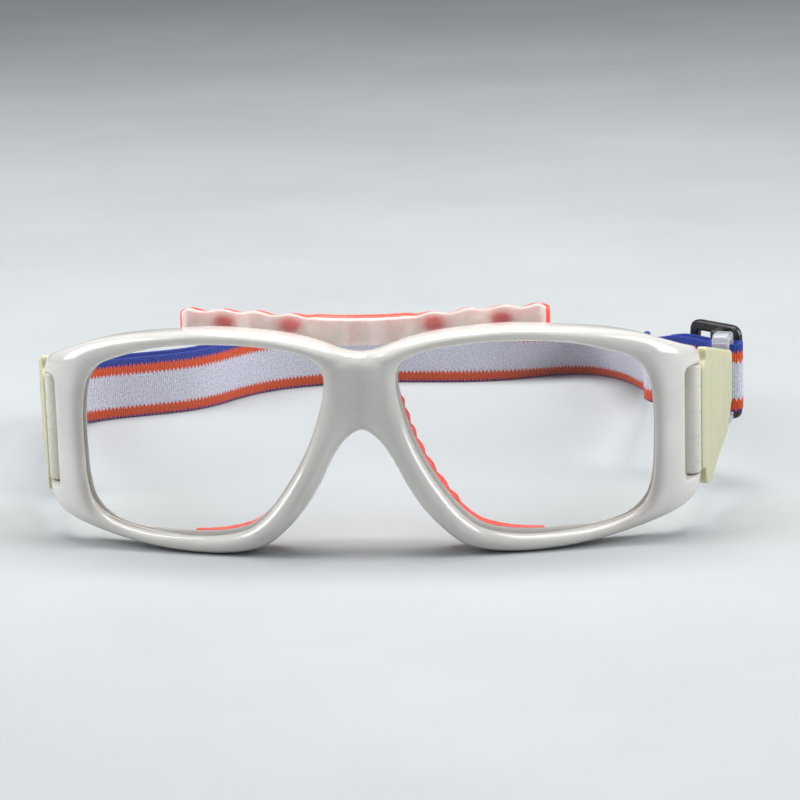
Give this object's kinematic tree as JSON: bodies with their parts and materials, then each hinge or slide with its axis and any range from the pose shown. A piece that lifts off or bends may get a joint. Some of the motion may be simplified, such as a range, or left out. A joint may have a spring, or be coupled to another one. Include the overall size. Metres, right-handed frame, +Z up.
{
  "type": "sports protective goggles",
  "caption": "Wrap-around protective sports goggles with a glossy rigid front, clear lenses, vented brow bar, soft nose pads, hinged strap arms and an adjustable elastic head strap.",
  "frame": {"origin": "middle of the object's footprint, at table height", "axes": "-Y to the front, where the lenses look; +X to the right of someone looking at the front; +Z up"},
  "size_m": [0.179, 0.1906, 0.0545],
  "materials": {
    "ivory_gloss": "glossy, slightly pearly",
    "coral_elastomer": "translucent satin",
    "clear_lens": "clear polished polycarbonate",
    "steel_pin": "plain drawn",
    "pale_green_elastomer": "translucent satin",
    "milky_clear": "clear moulded",
    "webbing": "woven elastic, striped lengthwise",
    "thread": "zigzag stitching",
    "black_plastic": "satin"
  },
  "bodies": {
    "frame": {"front_frame": "ivory_gloss", "brow_bar": "ivory_gloss", "brow_pad": "coral_elastomer", "nose_pad_left": "coral_elastomer", "nose_pad_right": "coral_elastomer", "lens_left": "clear_lens", "lens_right": "clear_lens", "hinge_pin_left": "steel_pin", "hinge_pin_right": "steel_pin", "strap_band": "webbing", "strap_tail_left": "webbing", "bar_tack_left": "thread"},
    "arm_left": {"strap_arm_left": "pale_green_elastomer", "strap_keeper_left": "milky_clear", "strap_end_left": "webbing"},
    "arm_right": {"strap_arm_right": "pale_green_elastomer", "strap_keeper_right": "milky_clear", "strap_end_right": "webbing", "bar_tack_right": "thread"},
    "slider": {"strap_slider": "black_plastic"}
  },
  "joints": [
    {"name": "arm_left_swing", "type": "hinge", "parent": "frame", "child": "arm_left", "pos_m": [-0.06953, -0.06894, 0.0254], "axis": [0, 0, -1], "range_deg": [-12, 30]},
    {"name": "arm_right_swing", "type": "hinge", "parent": "frame", "child": "arm_right", "pos_m": [0.07573, -0.06894, 0.0254], "axis": [0, 0, 1], "range_deg": [-12, 30]},
    {"name": "slider_slide", "type": "slide", "parent": "arm_right", "child": "slider", "axis": [-0.6997, 0.7145, 0], "range_m": [0, 0.008]}
  ]
}
